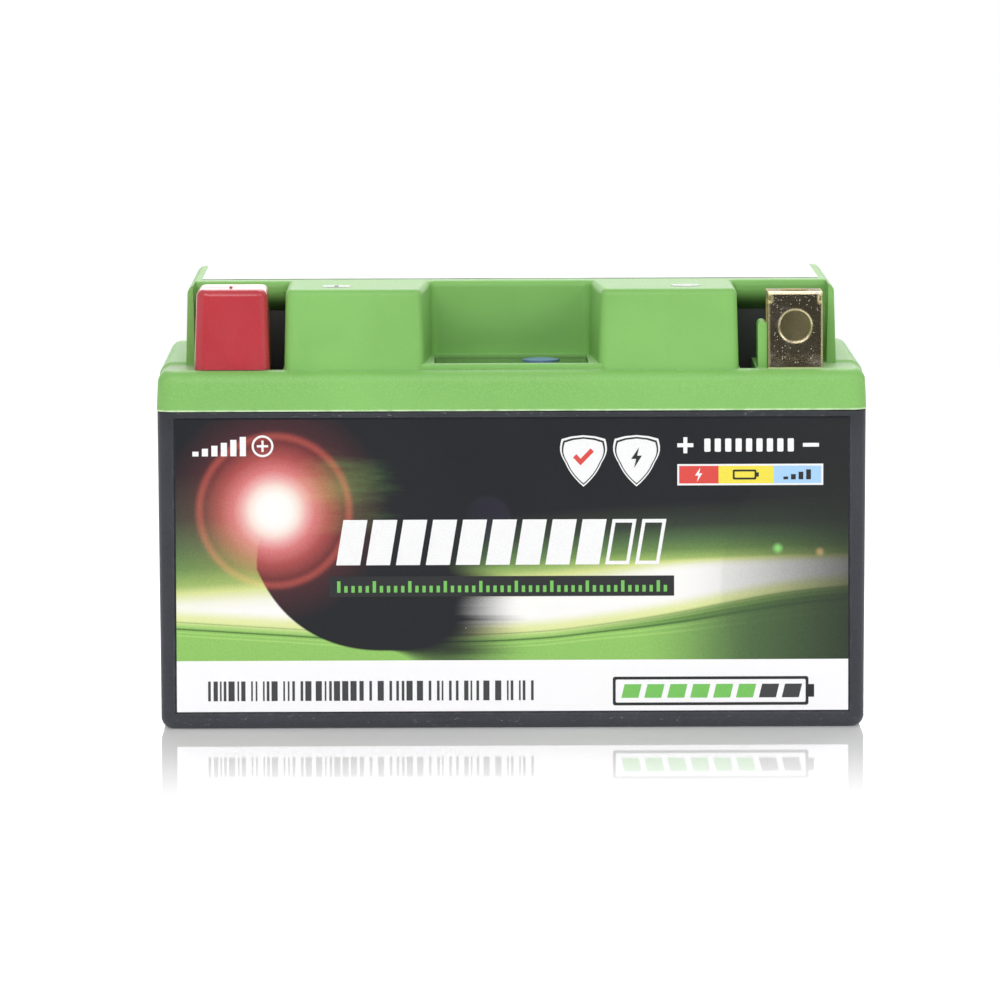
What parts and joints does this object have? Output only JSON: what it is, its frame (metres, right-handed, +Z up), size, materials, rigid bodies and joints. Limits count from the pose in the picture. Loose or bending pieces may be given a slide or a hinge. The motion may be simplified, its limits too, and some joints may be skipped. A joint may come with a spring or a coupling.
{
  "type": "motorcycle battery",
  "caption": "Sealed lithium starter battery: black case, green lid with raised block, red positive terminal cap, brass strap terminals, charge indicator with push-to-test button.",
  "frame": {"origin": "centre of the base, on the surface the battery stands on", "axes": "+Z up; the labelled front with both terminals faces -Y; +X to the right seen from the front, so the positive terminal under its red cap is at -X"},
  "size_m": [0.15, 0.087, 0.0934],
  "materials": {
    "case_black": "matte",
    "lid_green": "satin",
    "front_label_print": "satin",
    "label_white": "satin",
    "mark_white": "satin",
    "seal_black": "matte",
    "terminal_brass": "polished",
    "cap_red": "satin",
    "carrier_black": "matte",
    "gasket_rubber": "matte",
    "window_smoke": "gloss",
    "fascia_black": "gloss",
    "button_blue": "satin",
    "switch_grey": "satin",
    "light_lens": "gloss",
    "circuit_board": "satin",
    "component_black": "satin",
    "capacitor_can": "satin",
    "connector_white": "satin",
    "nylon_white": "matte",
    "wire_jacket": "satin",
    "cell_can": "satin",
    "copper": "satin",
    "steel": "satin",
    "foam_grey": "matte",
    "band_tape": "satin",
    "insulator_amber": "satin",
    "sleeve_black": "satin"
  },
  "bodies": {
    "root": {"balance_board": "circuit_board", "balance_mosfets": "component_black", "balance_resistors": "component_black", "board_capacitors": "capacitor_can", "board_screws": "steel", "board_standoffs": "nylon_white", "busbar_1": "copper", "busbar_2": "copper", "busbar_3": "copper", "busbar_screws": "steel", "cell_1": "cell_can", "cell_2": "cell_can", "cell_3": "cell_can", "cell_4": "cell_can", "cell_bands": "band_tape", "cell_spacer_1": "foam_grey", "cell_spacer_2": "foam_grey", "cell_spacer_3": "foam_grey", "charge_lights": "light_lens", "controller_chip": "component_black", "floor_pad": "foam_grey", "front_foam_block": "foam_grey", "front_label": "front_label_print", "indicator_board": "circuit_board", "indicator_cable": "wire_jacket", "indicator_fascia": "fascia_black", "indicator_header": "connector_white", "indicator_socket": "connector_white", "indicator_tray": "carrier_black", "indicator_window": "window_smoke", "insulator_sheet": "insulator_amber", "left_foam_block": "foam_grey", "lid": "lid_green", "lid_bead": "seal_black", "lower_case": "case_black", "negative_mark": "mark_white", "negative_riser": "copper", "negative_terminal": "terminal_brass", "negative_terminal_carrier": "carrier_black", "negative_terminal_gasket": "gasket_rubber", "positive_mark": "mark_white", "positive_riser": "copper", "positive_terminal": "terminal_brass", "positive_terminal_carrier": "carrier_black", "positive_terminal_gasket": "gasket_rubber", "rear_foam_block": "foam_grey", "right_foam_block": "foam_grey", "riser_sleeve": "sleeve_black", "sense_header": "connector_white", "sense_wires": "wire_jacket", "tact_switch_body": "component_black", "terminal_rivets": "steel", "top_label": "label_white", "tray_screws": "steel"},
    "cap": {"terminal_cap": "cap_red"},
    "button": {"test_button": "button_blue"},
    "plunger": {"tact_switch_plunger": "switch_grey"}
  },
  "joints": [
    {"name": "cap_lift", "type": "slide", "parent": "root", "child": "cap", "axis": [0, 0, 1], "range_m": [0, 0.045]},
    {"name": "button_press", "type": "slide", "parent": "root", "child": "button", "axis": [0, 0, -1], "range_m": [0, 0.0005], "stiffness_N_per_m": 600},
    {"name": "plunger_press", "type": "slide", "parent": "root", "child": "plunger", "axis": [0, 0, -1], "range_m": [0, 0.0005]}
  ],
  "couplings": [
    {"joint": "plunger_press", "follows": "button_press", "ratio": 1}
  ]
}
